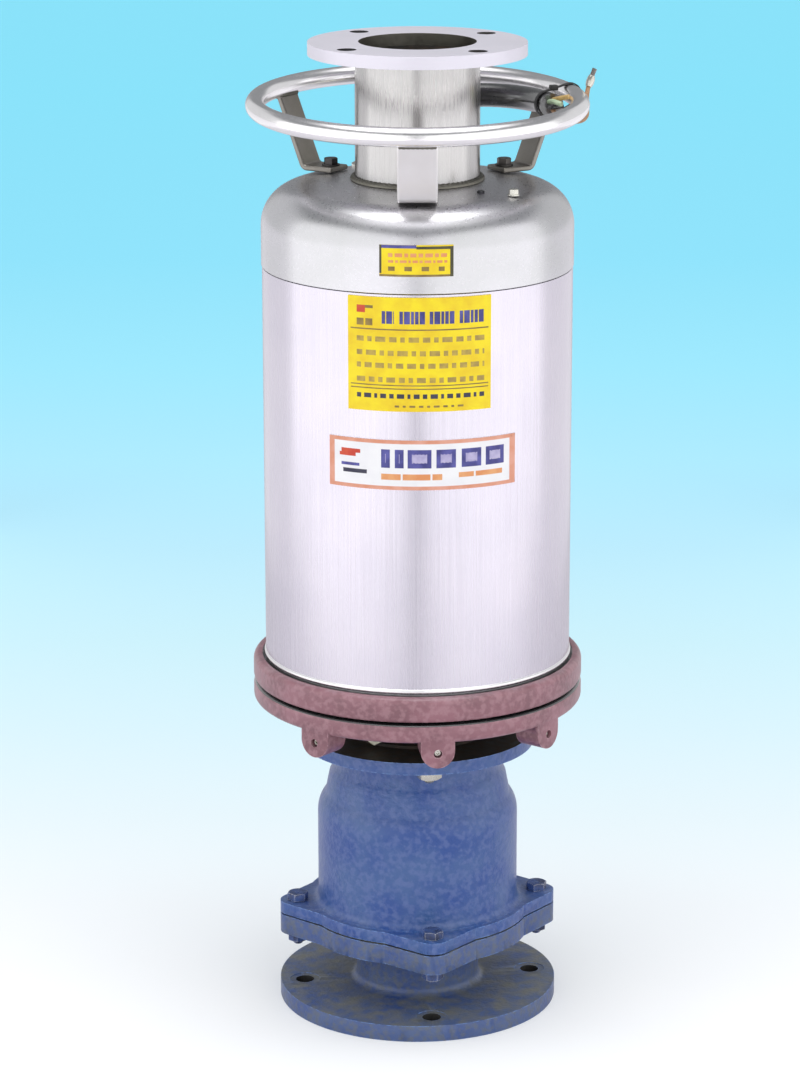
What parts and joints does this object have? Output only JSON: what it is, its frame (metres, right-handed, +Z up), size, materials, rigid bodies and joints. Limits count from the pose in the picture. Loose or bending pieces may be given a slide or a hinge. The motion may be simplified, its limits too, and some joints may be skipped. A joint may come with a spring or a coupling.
{
  "type": "submersible pump",
  "caption": "Upright submersible pump: stainless jacket and domed cover, flanged top discharge, lifting ring, power cable, red cast base rings and a blue check valve with a flanged foot.",
  "frame": {"origin": "centre of the base flange's underside", "axes": "+Z up the pump's axis, -Y to the front with the plates, +X to the right of the plates"},
  "size_m": [0.3297, 0.321, 0.942],
  "materials": {
    "stainless": "satin stainless steel with a faint upright grain",
    "yellow_plate": null,
    "white_label": null,
    "plated_steel": "zinc plated, slightly dulled",
    "black_rubber": "matt black rubber sheath",
    "brown_sleeve": "brown core insulation",
    "bare_iron": "dark bare iron",
    "red_casting": "dusty rose-red paint on iron",
    "blue_casting": "rough denim-blue paint on iron",
    "gasket_sheet": "dark compressed sheet",
    "blue_bolt_paint": "blue paint worn to bright metal on the corners"
  },
  "bodies": {
    "root": {"discharge_flange": "stainless", "discharge_neck": "stainless", "neck_collar": "stainless", "top_cover": "stainless", "motor_jacket": "stainless", "handle_ring": "stainless", "ring_bracket_front": "stainless", "ring_bracket_right": "stainless", "ring_bracket_left": "stainless", "upper_plate": "yellow_plate", "data_plate": "yellow_plate", "front_label": "white_label", "cover_plug": "plated_steel", "cable_gland": "plated_steel", "power_cable": "black_rubber", "cable_core": "brown_sleeve", "cable_tie": "black_rubber", "motor_end": "bare_iron", "motor_base": "red_casting", "casing_ring": "red_casting", "inlet_spigot": "bare_iron", "drain_plug": "plated_steel", "inlet_stud_1": "plated_steel", "inlet_stud_2": "plated_steel", "inlet_stud_3": "plated_steel", "inlet_stud_4": "plated_steel", "valve_bonnet": "blue_casting", "valve_gasket": "gasket_sheet", "valve_flap": "bare_iron", "valve_body": "blue_casting", "lobe_bolt_1": "blue_bolt_paint", "lobe_bolt_2": "blue_bolt_paint", "lobe_bolt_3": "blue_bolt_paint", "lobe_bolt_4": "blue_bolt_paint"}
  },
  "joints": []
}
